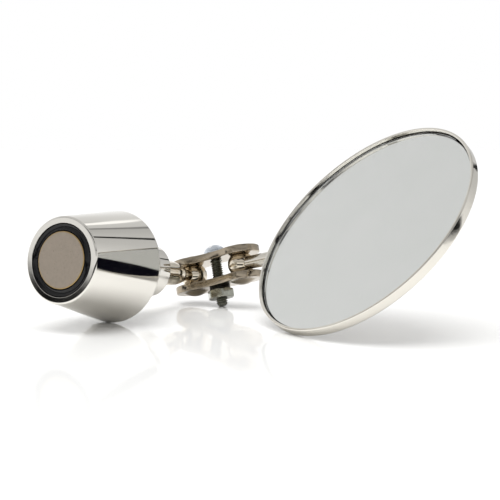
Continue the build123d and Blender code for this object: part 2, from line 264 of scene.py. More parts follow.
def fill_ramp(ramp, stops):
    """Sets a colour ramp's stops from (place, grey) pairs."""
    elements = ramp.color_ramp.elements
    while len(elements) > 1:
        elements.remove(elements[-1])
    elements[0].position, elements[0].color = stops[0][0], (*[stops[0][1]] * 3, 1)
    for place, grey in stops[1:]:
        elements.new(place).color = (grey, grey, grey, 1)


def blank(name):
    """A new material with its tree, its shader and the Object coordinates that its patterns read."""
    mat = bpy.data.materials.new(name)
    mat.use_nodes = True
    tree = mat.node_tree
    return mat, tree, tree.nodes["Principled BSDF"], node(tree, "ShaderNodeTexCoord").outputs["Object"]


def metal(name, base, rough, grain_mm=1.5, rough_vary=0.03, wave_mm=0.0, wave_um=0.0,
          tone=0.06, scratch=0.0, pits=0.0, along=None, at=None, lines_mm=0.15, line_um=0.0):
    """A plated metal: tone and gloss vary softly, and fine relief breaks its reflections.

    grain_mm is the size of the soft blotches, wave_mm and wave_um the spacing and height of orange
    peel, scratch the height of hairlines in microns, pits the strength of pin specks. along is the
    direction of drawn lines and at a point on that axis; lines_mm and line_um are their spacing and height.
    """
    mat, tree, shader, place = blank(name)
    shader.inputs["Metallic"].default_value = 1.0
    blotch = node(tree, "ShaderNodeTexNoise",
                  inputs={"Vector": place, "Scale": 1 / (grain_mm * MM), "Detail": 4.0, "Roughness": 0.6})
    node(tree, "ShaderNodeMapRange", into=shader.inputs["Roughness"],
         inputs={"Value": blotch.outputs["Fac"], "From Min": 0.3, "From Max": 0.7,
                 "To Min": rough - rough_vary, "To Max": rough + rough_vary})
    dark = tuple(c * (1 - tone) for c in base)
    light = tuple(min(1.0, c * (1 + tone * 0.5)) for c in base)
    tint = node(tree, "ShaderNodeMix", data_type="RGBA",
                inputs={"Factor": blotch.outputs["Fac"], "A": (*dark, 1), "B": (*light, 1)}).outputs["Result"]
    reliefs, shades = [], []
    if wave_mm:
        peel = node(tree, "ShaderNodeTexNoise",
                    inputs={"Vector": place, "Scale": 1 / (wave_mm * MM), "Detail": 1.5, "Roughness": 0.4})
        reliefs.append((peel, wave_um))
    if along is not None:
        turn = stand(at, along, Vector((0.3, 0.2, 1.0))).inverted()
        laid = node(tree, "ShaderNodeMapping", vector_type="POINT",
                    inputs={"Vector": place, "Location": turn.translation, "Rotation": turn.to_euler("XYZ")})
        drawn_out = node(tree, "ShaderNodeVectorMath", operation="MULTIPLY",
                         inputs={0: laid.outputs["Vector"], 1: (1.0, 1.0, 0.02)})
        lines = node(tree, "ShaderNodeTexNoise",
                     inputs={"Vector": drawn_out.outputs["Vector"], "Scale": 1 / (lines_mm * MM),
                             "Detail": 3.0})
        reliefs.append((lines, line_um))
        shades.append(node(tree, "ShaderNodeMapRange",
                           inputs={"Value": lines.outputs["Fac"], "From Min": 0.35, "From Max": 0.65,
                                   "To Min": 0.82, "To Max": 1.0}))
    if scratch:
        hairlines = node(tree, "ShaderNodeTexNoise",
                         inputs={"Vector": place, "Scale": 1 / (0.35 * MM), "Detail": 6.0, "Roughness": 0.7,
                                 "Distortion": 1.5})
        reliefs.append((hairlines, scratch))
    if pits:
        specks = node(tree, "ShaderNodeTexVoronoi", inputs={"Vector": place, "Scale": 1 / (0.9 * MM)})
        shades.append(node(tree, "ShaderNodeMapRange",
                           inputs={"Value": specks.outputs["Distance"], "From Min": 0.06, "From Max": 0.14,
                                   "To Min": 1.0 - pits, "To Max": 1.0}))
    for shade in shades:
        tint = node(tree, "ShaderNodeVectorMath", operation="SCALE",
                    inputs={0: tint, "Scale": shade.outputs["Result"]}).outputs["Vector"]
    tree.links.new(tint, shader.inputs["Base Color"])
    normal = None
    for pattern, height_um in reliefs:
        # a noise uses about half of its range, so twice the distance gives the height asked for
        feeds = {"Height": pattern.outputs["Fac"], "Distance": 2 * height_um * MICRON, "Strength": 1.0}
        if normal is not None:
            feeds["Normal"] = normal
        normal = node(tree, "ShaderNodeBump", inputs=feeds).outputs["Normal"]
    if normal is not None:
        tree.links.new(normal, shader.inputs["Normal"])
    return mat


def magnet_finish(base):
    """Nickel-plated neodymium, tumbled and handled: a matt face with dark specks and a yellowed edge."""
    mat = metal("tumbled_nickel_magnet", base, 0.50, grain_mm=0.9, rough_vary=0.08, tone=0.26,
                scratch=6.0, pits=0.45)
    tree = mat.node_tree
    shader = tree.nodes["Principled BSDF"]
    place = node(tree, "ShaderNodeTexCoord").outputs["Object"]
    off = node(tree, "ShaderNodeVectorMath", operation="SUBTRACT", inputs={0: place, 1: FACE})
    reach = node(tree, "ShaderNodeVectorMath", operation="LENGTH", inputs={0: off.outputs["Vector"]})
    rim = node(tree, "ShaderNodeMapRange",
               inputs={"Value": reach.outputs["Value"], "From Min": 8.45 * MM, "From Max": 8.95 * MM})
    was = shader.inputs["Base Color"].links[0].from_socket
    node(tree, "ShaderNodeMix", into=shader.inputs["Base Color"], out=2, data_type="RGBA",
         inputs={"Factor": rim.outputs["Result"], "A": was, "B": (*linear("#B89B62"), 1)})
    return mat


def resin_finish(base):
    """Cast black epoxy: jet black and wet-looking, with slow waves and a few caught dust grains."""
    mat, tree, shader, place = blank("cast_black_epoxy")
    shader.inputs["IOR"].default_value = 1.40
    slow = node(tree, "ShaderNodeTexNoise", inputs={"Vector": place, "Scale": 1 / (2.2 * MM), "Detail": 2.0})
    dust = node(tree, "ShaderNodeTexVoronoi", inputs={"Vector": place, "Scale": 1 / (0.8 * MM)})
    grain = node(tree, "ShaderNodeMapRange",
                 inputs={"Value": dust.outputs["Distance"], "From Min": 0.05, "From Max": 0.12,
                         "To Min": 1.0, "To Max": 0.0})
    relief = node(tree, "ShaderNodeMath", operation="MULTIPLY_ADD",
                  inputs={0: grain.outputs["Result"], 1: 0.25, 2: slow.outputs["Fac"]})
    node(tree, "ShaderNodeBump", into=shader.inputs["Normal"],
         inputs={"Height": relief.outputs["Value"], "Distance": 0.09 * MM, "Strength": 1.0})
    node(tree, "ShaderNodeMix", into=shader.inputs["Base Color"], out=2, data_type="RGBA",
         inputs={"Factor": grain.outputs["Result"], "A": (*base, 1), "B": (*linear("#3A3328"), 1)})
    node(tree, "ShaderNodeMapRange", into=shader.inputs["Roughness"],
         inputs={"Value": slow.outputs["Fac"], "To Min": 0.08, "To Max": 0.22})
    return mat


def glass_finish():
    """Clear float glass: almost no colour of its own, with a faint haze where it was wiped."""
    mat, tree, shader, place = blank("clear_float_glass")
    shader.inputs["IOR"].default_value = 1.52
    shader.inputs["Transmission Weight"].default_value = 1.0
    haze = node(tree, "ShaderNodeTexNoise", inputs={"Vector": place, "Scale": 1 / (14 * MM), "Detail": 5.0})
    node(tree, "ShaderNodeMapRange", into=shader.inputs["Roughness"],
         inputs={"Value": haze.outputs["Fac"], "From Min": 0.45, "From Max": 0.75,
                 "To Min": 0.0, "To Max": 0.03})
    node(tree, "ShaderNodeMix", into=shader.inputs["Base Color"], out=2, data_type="RGBA",
         inputs={"Factor": haze.outputs["Fac"], "A": (*linear("#FEFEFE"), 1), "B": (*linear("#FAFBFA"), 1)})
    return mat


def dull_finish(name, base, rough, grain_mm, bump_um):
    """A coat, paint or foam of one colour, with a soft grain."""
    mat, tree, shader, place = blank(name)
    grain = node(tree, "ShaderNodeTexNoise",
                 inputs={"Vector": place, "Scale": 1 / (grain_mm * MM), "Detail": 4.0})
    darker = tuple(c * 0.8 for c in base)
    node(tree, "ShaderNodeMix", into=shader.inputs["Base Color"], out=2, data_type="RGBA",
         inputs={"Factor": grain.outputs["Fac"], "A": (*darker, 1), "B": (*base, 1)})
    node(tree, "ShaderNodeMapRange", into=shader.inputs["Roughness"],
         inputs={"Value": grain.outputs["Fac"], "To Min": rough - 0.05, "To Max": rough + 0.05})
    node(tree, "ShaderNodeBump", into=shader.inputs["Normal"],
         inputs={"Height": grain.outputs["Fac"], "Distance": bump_um * MICRON, "Strength": 1.0})
    return mat


def finishes():
    """Every finish of the tool, made once and then looked up by name."""
    if "bright_chrome_plate" in bpy.data.materials:
        return bpy.data.materials
    tone = bpy.context.scene.mirror_finish
    # decorative chrome over nickel on turned steel: nearly a mirror, soft waves, wiped smudges
    metal("bright_chrome_plate", tone.chrome, 0.055, grain_mm=9, rough_vary=0.02, wave_mm=3.0, wave_um=2.0,
          tone=0.03, scratch=0.15)
    # the ground front ring of the pot, brushed a little duller than its cone
    metal("ground_chrome_ring", tuple(c * 0.93 for c in tone.chrome), 0.24, grain_mm=2, rough_vary=0.04,
          tone=0.08, scratch=0.8)
    # bright nickel on a pressed pan: orange peel breaks up what it mirrors
    metal("bright_nickel_pan", tone.pan_nickel, 0.075, grain_mm=4, rough_vary=0.03, wave_mm=1.3, wave_um=9.0,
          tone=0.05, pits=0.10)
    # nickel over tumbled stampings: warm and satin, with a fine tooth
    metal("tumbled_nickel_plates", tone.plate_nickel, 0.15, grain_mm=0.8, rough_vary=0.06, wave_mm=0.8,
          wave_um=6.0, tone=0.20, scratch=0.6, pits=0.12)
    # nickel on turned and polished steel: warm mirror with light wear
    metal("polished_nickel_ball", tone.ball_nickel, 0.03, grain_mm=1.5, rough_vary=0.02, wave_mm=1.2,
          wave_um=2.5, tone=0.12, scratch=0.35)
    # the same plate on the turned stud, whose tool marks soften it a little
    metal("turned_nickel_stud", tone.ball_nickel, 0.05, grain_mm=2.0, rough_vary=0.02, wave_mm=1.4,
          wave_um=3.0, tone=0.10, scratch=0.3)
    # cold-drawn rod: fine lines run along it and pull its highlights out lengthwise
    metal("drawn_nickel_rod", tone.rod_nickel, 0.13, grain_mm=3, tone=0.05, along=ROD_DIR, at=BALL_B,
          lines_mm=0.22, line_um=5.0)
    # clear zinc on a cold-headed screw: a cool blue-white
    metal("clear_zinc_head", tone.zinc, 0.22, grain_mm=0.7, rough_vary=0.06, tone=0.10, scratch=0.8)
    # rolled thread with oil in its roots: dark and greenish
    metal("oiled_rolled_thread", tone.oiled_steel, 0.36, grain_mm=0.5, rough_vary=0.08, tone=0.30,
          scratch=1.0)
    # nickel on formed and tapped steel: a soft mirror, dulled by handling
    metal("plated_nut", tone.nut_nickel, 0.12, grain_mm=0.9, rough_vary=0.05, wave_mm=1.0, wave_um=3.0,
          tone=0.20, scratch=0.7)
    # blued spring steel under plate: dark, a little shiny
    metal("spring_steel_washer", linear("#2B2A27"), 0.30, grain_mm=0.6, rough_vary=0.06, tone=0.2,
          scratch=0.8)
    # nickel over a bent strip and over headed rivets, both satin
    metal("plated_saddle_strip", tone.plate_nickel, 0.22, grain_mm=1.2, rough_vary=0.05, wave_mm=1.2,
          wave_um=4.0, tone=0.10, scratch=0.5)
    metal("plated_rivet", tone.nut_nickel, 0.20, grain_mm=0.7, rough_vary=0.05, tone=0.12, scratch=0.6)
    # the pan's inner wall and lip are coloured black and wet-looking: a painted dark reflection, standing in for
    # the dark surroundings that the plated wall mirrors
    dark_reflection_coat = dull_finish("black_lacquer", linear("#060607"), 0.14, 1.2, 3)
    dark_reflection_coat.node_tree.nodes["Principled BSDF"].inputs["Specular IOR Level"].default_value = 0.15
    # bare turned iron, grey and finely grooved
    metal("machined_iron", linear("#8A8884"), 0.42, grain_mm=0.8, rough_vary=0.08, tone=0.2, scratch=1.5)
    # chemically deposited silver: neutral, clean mirror
    metal("deposited_silver", tone.silver, 0.012, grain_mm=30, rough_vary=0.004, tone=0.006)
    magnet_finish(tone.magnet)
    resin_finish(tone.resin)
    glass_finish()
    # closed-cell foam and the paint that seals the silver, both out of sight
    dull_finish("closed_cell_foam", linear("#3B3B3A"), 0.85, 0.5, 30)
    dull_finish("mirror_back_paint", linear("#6E7B84"), 0.6, 1.5, 4)
    return bpy.data.materials


def dress(node_name, finish):
    """Gives a CAD node that stays in view its finish."""
    mesh = frame["nodes"][node_name].data
    mesh.materials.clear()
    mesh.materials.append(finishes()[finish])


# ---------------------------------------------------------------- meshes
def rounded(points, radii, steps=8):
    """An outline whose corners are replaced by arcs. radii maps a corner's index to its radius."""
    out = []
    for i, here in enumerate(points):
        r = radii.get(i, 0.0)
        if not r:
            out.append(here)
            continue
        p = Vector(here)
        a = (Vector(points[i - 1]) - p).normalized()
        b = (Vector(points[i + 1]) - p).normalized()
        half = a.angle(b) / 2
        centre = p + (a + b).normalized() * (r / sin(half))
        start = p + a * (r / tan(half)) - centre
        end = p + b * (r / tan(half)) - centre
        sweep = start.angle_signed(end)
        for k in range(steps + 1):
            t = -sweep * k / steps
            out.append((centre.x + start.x * cos(t) - start.y * sin(t),
                        centre.y + start.x * sin(t) + start.y * cos(t)))
    return out


def in_scene(name, mesh):
    """A new object of the scene, made of a mesh."""
    made = bpy.data.objects.new(name, mesh)
    bpy.context.scene.collection.objects.link(made)
    return made


def soften_shading(mesh, sharp):
    """Smooth shading that breaks at the edges sharper than an angle in degrees."""
    mesh.shade_smooth()
    mesh.set_sharp_from_angle(angle=radians(sharp))


def strips(rows, n, closed=False):
    """Faces between a mesh's rows, each a loop of n points, and from the last row to the first if closed."""
    faces = []
    for i in range(rows if closed else rows - 1):
        j = (i + 1) % rows
        for k in range(n):
            m = (k + 1) % n
            faces.append((i * n + k, i * n + m, j * n + m, j * n + k))
    return faces


def smooth_chain(knots, between):
    """A smooth curve through points, as a Catmull-Rom chain."""
    out = []
    last = len(knots) - 1
    for i in range(last):
        p0 = Vector(knots[max(i - 1, 0)])
        p1 = Vector(knots[i])
        p2 = Vector(knots[i + 1])
        p3 = Vector(knots[min(i + 2, last)])
        for k in range(between):
            t = k / between
            v = 0.5 * ((2 * p1) + (p2 - p0) * t + (2 * p0 - 5 * p1 + 4 * p2 - p3) * t ** 2
                       + (3 * p1 - p0 - 3 * p2 + p3) * t ** 3)
            out.append((v.x, v.y))
    out.append(tuple(knots[-1]))
    return out


def mesh_object(name, points, faces, place=None, finish=None, sharp=35):
    """A mesh object with smooth shading, sharp only at its real edges."""
    mesh = bpy.data.meshes.new(name)
    mesh.from_pydata([tuple(p) for p in points], [], faces)
    work = bmesh.new()
    work.from_mesh(mesh)
    bmesh.ops.remove_doubles(work, verts=work.verts, dist=2e-7)
    bmesh.ops.dissolve_degenerate(work, dist=1e-7, edges=work.edges)
    bmesh.ops.recalc_face_normals(work, faces=work.faces)
    work.to_mesh(mesh)
    work.free()
    if place is not None:
        mesh.transform(place)
    soften_shading(mesh, sharp)
    if finish:
        mesh.materials.append(finishes()[finish])
    return in_scene(name, mesh)


def socket_tree(name, numbers):
    """A new geometry tree with a geometry in and out, and the named number inputs."""
    tree = bpy.data.node_groups.new(name, "GeometryNodeTree")
    tree.interface.new_socket("Geometry", in_out="INPUT", socket_type="NodeSocketGeometry")
    for label, default in numbers:
        kind = "NodeSocketInt" if isinstance(default, int) else "NodeSocketFloat"
        socket = tree.interface.new_socket(label, in_out="INPUT", socket_type=kind)
        socket.default_value = default
    tree.interface.new_socket("Finish", in_out="INPUT", socket_type="NodeSocketMaterial")
    tree.interface.new_socket("Geometry", in_out="OUTPUT", socket_type="NodeSocketGeometry")
    return tree


def close_tree(tree, start, shape):
    """Ends a tree: realised, closed at its seams, smooth, with its finish set."""
    real = node(tree, "GeometryNodeRealizeInstances", inputs={"Geometry": shape})
    closed = node(tree, "GeometryNodeMergeByDistance", inputs={"Geometry": real.outputs[0], "Distance": 2e-7})
    smooth = node(tree, "GeometryNodeSetShadeSmooth", inputs={0: closed.outputs[0]})
    coat = node(tree, "GeometryNodeSetMaterial",
                inputs={"Geometry": smooth.outputs[0], "Material": start.outputs["Finish"]})
    end = node(tree, "NodeGroupOutput")
    tree.links.new(coat.outputs[0], end.inputs[0])


def grown(name, tree, source, numbers, finish, place, sharp=35):
    """Runs a geometry tree on a source mesh and keeps the result as a plain mesh object."""
    seed = in_scene(name + "_seed", source)
    grow = seed.modifiers.new("grow", "NODES")
    grow.node_group = tree
    values = {**numbers, "Finish": finishes()[finish]}
    for item in tree.interface.items_tree:
        if item.in_out == "INPUT" and item.name in values:
            grow[item.identifier] = values[item.name]
    graph = bpy.context.evaluated_depsgraph_get()
    mesh = bpy.data.meshes.new_from_object(seed.evaluated_get(graph), depsgraph=graph)
    bpy.data.objects.remove(seed)
    mesh.name = name
    work = bmesh.new()
    work.from_mesh(mesh)
    bmesh.ops.dissolve_degenerate(work, dist=1e-7, edges=work.edges)
    bmesh.ops.recalc_face_normals(work, faces=work.faces)
    work.to_mesh(mesh)
    work.free()
    mesh.transform(place)
    soften_shading(mesh, sharp)
    # faces square to the axis are truly flat, so that a mirror face mirrors without bending
    axis = (place.to_3x3() @ Vector((0, 0, 1))).normalized()
    for face in mesh.polygons:
        if abs(face.normal.dot(axis)) > 0.99999:
            face.use_smooth = False
    return in_scene(name, mesh)


def lathe_tree():
    """Turns an outline about Z. The outline is a chain of points: X is the radius, Z the height."""
    if "turned_piece" in bpy.data.node_groups:
        return bpy.data.node_groups["turned_piece"]
    tree = socket_tree("turned_piece", [("Steps", 96)])
    start = node(tree, "NodeGroupInput")
    size = node(tree, "GeometryNodeAttributeDomainSize", component="MESH",
                inputs={"Geometry": start.outputs["Geometry"]})
    around = node(tree, "ShaderNodeMath", operation="ADD", inputs={0: start.outputs["Steps"], 1: 1.0})
    sheet = node(tree, "GeometryNodeMeshGrid",
                 inputs={"Vertices X": around.outputs[0], "Vertices Y": size.outputs["Point Count"]})
    index = node(tree, "GeometryNodeInputIndex")
    column = node(tree, "ShaderNodeMath", operation="MODULO",
                  inputs={0: index.outputs[0], 1: size.outputs["Point Count"]})
    row = node(tree, "ShaderNodeMath", operation="DIVIDE",
               inputs={0: index.outputs[0], 1: size.outputs["Point Count"]})
    whole = node(tree, "ShaderNodeMath", operation="FLOOR", inputs={0: row.outputs[0]})
    share = node(tree, "ShaderNodeMath", operation="DIVIDE",
                 inputs={0: whole.outputs[0], 1: start.outputs["Steps"]})
    wrapped = node(tree, "ShaderNodeMath", operation="FRACT", inputs={0: share.outputs[0]})
    turn = node(tree, "ShaderNodeMath", operation="MULTIPLY", inputs={0: wrapped.outputs[0], 1: 2 * pi})
    outline = node(tree, "GeometryNodeSampleIndex", data_type="FLOAT_VECTOR", domain="POINT",
                   inputs={"Geometry": start.outputs["Geometry"], "Index": column.outputs[0]})
    spot = node(tree, "GeometryNodeInputPosition")
    tree.links.new(spot.outputs[0], outline.inputs["Value"])
    turned = node(tree, "ShaderNodeVectorRotate", rotation_type="Z_AXIS",
                  inputs={"Vector": outline.outputs[0], "Angle": turn.outputs[0]})
    moved = node(tree, "GeometryNodeSetPosition",
                 inputs={"Geometry": sheet.outputs[0], "Position": turned.outputs[0]})
    close_tree(tree, start, moved.outputs[0])
    return tree


def turned(name, outline, steps, finish, place, sharp=35):
    """A turned piece from an outline of (radius, height) points, on the axis of place."""
    source = bpy.data.meshes.new(name + "_outline")
    chain = [(r, 0, h) for r, h in outline]
    source.from_pydata(chain, [(i, i + 1) for i in range(len(chain) - 1)], [])
    return grown(name, lathe_tree(), source, {"Steps": steps}, finish, place, sharp)


def joined(name, pieces):
    """Several mesh objects as one, each keeping its finish."""
    work = bmesh.new()
    mats = []
    for piece in pieces:
        mesh = piece.data
        base = len(mats)
        mats.extend(mesh.materials)
        first = len(work.faces)
        work.from_mesh(mesh)
        work.faces.ensure_lookup_table()
        for face in work.faces[first:]:
            face.material_index += base
    mesh = bpy.data.meshes.new(name)
    work.to_mesh(mesh)
    work.free()
    for mat in mats:
        mesh.materials.append(mat)
    for piece in pieces:
        bpy.data.objects.remove(piece)
    return in_scene(name, mesh)


def settle(piece, body, slot, *nodes):
    """Puts a finished piece on its body in place of the CAD nodes it stands for."""
    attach(piece, body)
    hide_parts(*nodes)


# ---------------------------------------------------------------- pot magnet
class MIRROR_OT_pot(bpy.types.Operator):
    """Build the conical pot: face ring, shell, cap and boss"""

    bl_idname = "mirror.pot"
    bl_label = "Pot shell and cap"

    def execute(self, context):
        s = context.scene.mirror_pot
        inner = s.resin_r
        rear_wall = 3.5 * MM
        bore = 3 * MM
        # the shell's open bore is closed by the potting, so its outline turns in behind the face
        outline = rounded(
            [(inner, bore), (inner, 0), (s.front_r, 0), (s.rear_r, s.shell_len),
             (s.rear_r - rear_wall, s.shell_len), (inner, bore)],
            {1: 0.12 * MM, 2: s.front_round, 3: s.rear_round}, 10)
        shell = turned("pot_cone", outline, s.steps, "bright_chrome_plate", POT_STAND)
        # the front ring is ground flat, so it is duller than the cone
        shell.data.materials.append(finishes()["ground_chrome_ring"])
        to_pot = POT_STAND.inverted()
        for face in shell.data.polygons:
            local = to_pot @ face.center
            if local.z < 0.02 * MM and inner + 0.2 * MM < hypot(local.x, local.y) < s.front_r - 0.35 * MM:
                face.material_index = 1
        settle(shell, "magnet_base", "shell_chrome", "pot_shell")

        # a spigot seats the cap in the shell, and its sloping shoulder leaves the shell's rim in view
        spigot_r = 14.5 * MM
        spigot_end = s.shell_len - 4 * MM
        shoulder_r = s.rear_r - 1.6 * MM
        cap = rounded(
            [(0, spigot_end), (spigot_r, spigot_end), (spigot_r, s.shell_len),
             (shoulder_r, s.shell_len), (s.boss_r, s.shoulder_end), (s.boss_r, s.boss_end), (0, s.boss_end)],
            {3: 0.25 * MM, 4: 0.35 * MM, 5: s.boss_round}, 8)
        back = turned("pot_cap", cap, s.steps, "bright_chrome_plate", POT_STAND)
        settle(back, "magnet_base", "shell_chrome", "rear_cap")
        return {"FINISHED"}


class MIRROR_OT_magnet(bpy.types.Operator):
    """Finish the magnet's face and pour the black potting round it"""

    bl_idname = "mirror.magnet"
    bl_label = "Magnet and potting"

    def execute(self, context):
        s = context.scene.mirror_pot
        outline = rounded(
            [(0, s.magnet_len), (s.magnet_r, s.magnet_len), (s.magnet_r, 0), (0, 0)],
            {2: s.magnet_round}, 8)
        disc = turned("magnet_face", outline, s.steps, "tumbled_nickel_magnet", POT_STAND)
        settle(disc, "magnet_base", "magnet_nickel", "magnet_disc")

        # the potting creeps up both walls and sags a little between them
        inner, outer = s.magnet_r - 0.02 * MM, s.resin_r + 0.01 * MM
        wide = outer - inner
        deep = 2.5 * MM
        top = []
        for k in range(25):
            t = k / 24
            sag = 0.9 * MM * (1 - (2 * t - 1) ** 2) ** 0.6
            top.append((inner + wide * t, s.resin_recess - 0.05 * MM + sag))
        ring = [(inner, deep)] + top + [(outer, deep), (inner, deep)]
        pour = turned("potting_ring", ring, s.steps, "cast_black_epoxy", POT_STAND, 60)
        settle(pour, "magnet_base", "potting_resin", "resin_ring")
        dress("keeper_disc", "machined_iron")
        return {"FINISHED"}


def ball_outline(radius, marks):
    """Half the outline of a polished ball, from pole to pole."""
    points = [(radius * sin(pi * k / marks), -radius * cos(pi * k / marks)) for k in range(1, marks)]
    return [(0, -radius)] + points + [(0, radius)]


def cup_outline(cup, bar_r):
    """The hollow end of a bar on its ball: (radius, height over the ball's middle), from the axis out."""
    return [(bar_r * k / 8, sqrt(cup ** 2 - (bar_r * k / 8) ** 2)) for k in range(9)]


class MIRROR_OT_stud(bpy.types.Operator):
    """Turn the trumpet-shaped stud and the two balls"""

    bl_idname = "mirror.stud"
    bl_label = "Stud and balls"

    def execute(self, context):
        s = context.scene.mirror_pot
        # the trumpet: its radius against the distance from the face, narrowing fast, then slowly, then fast
        knots = [(s.stud_root_r, s.boss_end), (5.05 * MM, 51.5 * MM), (4.45 * MM, 56.5 * MM),
                 (4.2 * MM, 61.4 * MM), (3.35 * MM, 65.6 * MM), (s.stud_neck_r, 69.2 * MM)]
        hollow = [(r, s.ball_at - h) for r, h in reversed(cup_outline(s.ball_r + BALL_GAP, s.stud_neck_r))]
        spigot_r = 2.97 * MM
        spigot_end = 36 * MM
        outline = [(0, spigot_end), (spigot_r, spigot_end), (spigot_r, s.boss_end)] + smooth_chain(knots, 9)
        outline += [(s.stud_neck_r, hollow[0][1] - 0.02 * MM)] + hollow
        stud = turned("stud_trumpet", outline, s.steps, "turned_nickel_stud", POT_STAND)
        settle(stud, "stud", "stud_chrome", "ball_stud")

        half_round = ball_outline(s.ball_r, 64)
        for body, place in (("stud_ball", stand(BALL_A, POT_DIR, Vector((0, 0, 1)))),
                            ("rod_ball", ROD_STAND)):
            ball = turned(body + "_polished", half_round, 128, "polished_nickel_ball", place, 60)
            settle(ball, body, "ball_chrome", body)
        return {"FINISHED"}


# ---------------------------------------------------------------- clamp link
def plate_piece(name, s, ball_r, side):
    """One stamped plate: dog-bone outline, rolled edges, a dome over each ball and a screw hole."""
    half = (BALL_B - BALL_A).length / 2
    waist_r = (half ** 2 + s.waist ** 2 - s.end_r ** 2) / (2 * (s.end_r - s.waist))
    waist_y = waist_r + s.waist
    tangent = atan2(waist_y, half)
    # a quarter of the outline, each point with the direction out of the plate: round end, then waist
    quarter = []
    for k in range(41):
        turn = (pi - tangent) * k / 40
        quarter.append((half + s.end_r * cos(turn), s.end_r * sin(turn), cos(turn), sin(turn)))
    x_end = quarter[-1][0]
    to_hole = [x_end + (s.hole_r - x_end) * k / 20 for k in range(1, 21)]
    past_hole = [s.hole_r * (1 - k / 16) for k in range(1, 17)]
    for x in to_hole + past_hole:
        y = waist_y - sqrt(waist_r ** 2 - x ** 2)
        quarter.append((x, y, -x / waist_r, (waist_y - y) / waist_r))
    left = [(-x, y, -nx, ny) for x, y, nx, ny in reversed(quarter[:-1])]
    upper = quarter + left
    lower = [(x, -y, nx, -ny) for x, y, nx, ny in reversed(upper[1:-1])]
    ring = upper + lower
    n = len(ring)

    def hub(x, y):
        """Where a line in from the edge ends: the long axis, fanned out at the ends, or the screw hole."""
        if abs(x) > x_end:
            share = (abs(x) - x_end) / (half + s.end_r - x_end)
            spread = x_end + (half - x_end) * min(1.0, share * 2.2)
            return (spread if x > 0 else -spread, 0.0)
        if abs(x) < s.hole_r:
            return (x, (1 if y > 0 else -1) * sqrt(s.hole_r ** 2 - x ** 2))
        return (x, 0.0)

    dome_r = ball_r + s.socket_gap + s.plate_t
    socket_r = ball_r + s.socket_gap
    flat_top = s.half_gap + s.plate_t

    def top_height(x, y):
        """Outer face: the flat plate, blended into the dome."""
        d = min(hypot(x - half, y), hypot(x + half, y))
        dome = sqrt(max(dome_r ** 2 - d ** 2, 0.0))
        k = s.dome_blend
        h = max(k - abs(dome - flat_top), 0.0) / k
        return max(dome, flat_top) + h * h * k * 0.25

    def low_height(x, y):
        """Inner face: the flat plate, cut by the ball's socket."""
        d = min(hypot(x - half, y), hypot(x + half, y))
        cup = sqrt(max(socket_r ** 2 - d ** 2, 0.0))
        return max(cup, s.half_gap)

    def face_loop(share, height):
        """The outline inside the rolled edge, drawn in towards the hub by a share of the way."""
        loop = []
        for x, y, nx, ny in ring:
            px, py = x - nx * s.edge, y - ny * s.edge
            hx, hy = hub(x, y)
            qx, qy = px + (hx - px) * share, py + (hy - py) * share
            loop.append((qx, qy, height(qx, qy)))
        return loop

    def edge_loop(pull, height):
        """The outline drawn in by part of the edge's roll, at a height."""
        return [(x - nx * pull, y - ny * pull, height) for x, y, nx, ny in ring]

    # from the hub out over the inner face, round the rolled edge, and back in over the outer face
    shares = [0.0, 0.05] + [k / 50 for k in range(5, 51, 3)]
    roll = [pi / 2 * k / 8 for k in range(1, 9)]
    loops = [face_loop(share, low_height) for share in reversed(shares)]
    loops += [edge_loop(s.edge * (1 - sin(a)), s.half_gap + s.edge * (1 - cos(a))) for a in roll]
    loops += [edge_loop(s.edge * (1 - cos(a)), flat_top - s.edge * (1 - sin(a))) for a in roll]
    loops += [face_loop(share, top_height) for share in shares[1:]]
    points = [(x, y, z * side) for loop in loops for x, y, z in loop]
    faces = strips(len(loops), n)
    # the wall of the screw hole joins the two faces
    last = (len(loops) - 1) * n
    for j in range(n):
        k = (j + 1) % n
        if max(abs(ring[j][0]), abs(ring[k][0])) < s.hole_r + 1e-9:
            faces.append((last + j, last + k, k, j))
    return mesh_object(name, points, faces, LINK_STAND, "tumbled_nickel_plates", 40)


class MIRROR_OT_plates(bpy.types.Operator):
    """Stamp the two clamp plates"""

    bl_idname = "mirror.plates"
    bl_label = "Clamp plates"

    def execute(self, context):
        s = context.scene.mirror_link
        ball_r = context.scene.mirror_pot.ball_r
        for which, side, body in (("upper", 1, "link"), ("lower", -1, "clamp_jaw")):
            plate = plate_piece("clamp_plate_" + which, s, ball_r, side)
            settle(plate, body, "plate_nickel", which + "_plate")
        return {"FINISHED"}


# rows of the thread's sheet to one pitch
THREAD_ROWS = 8


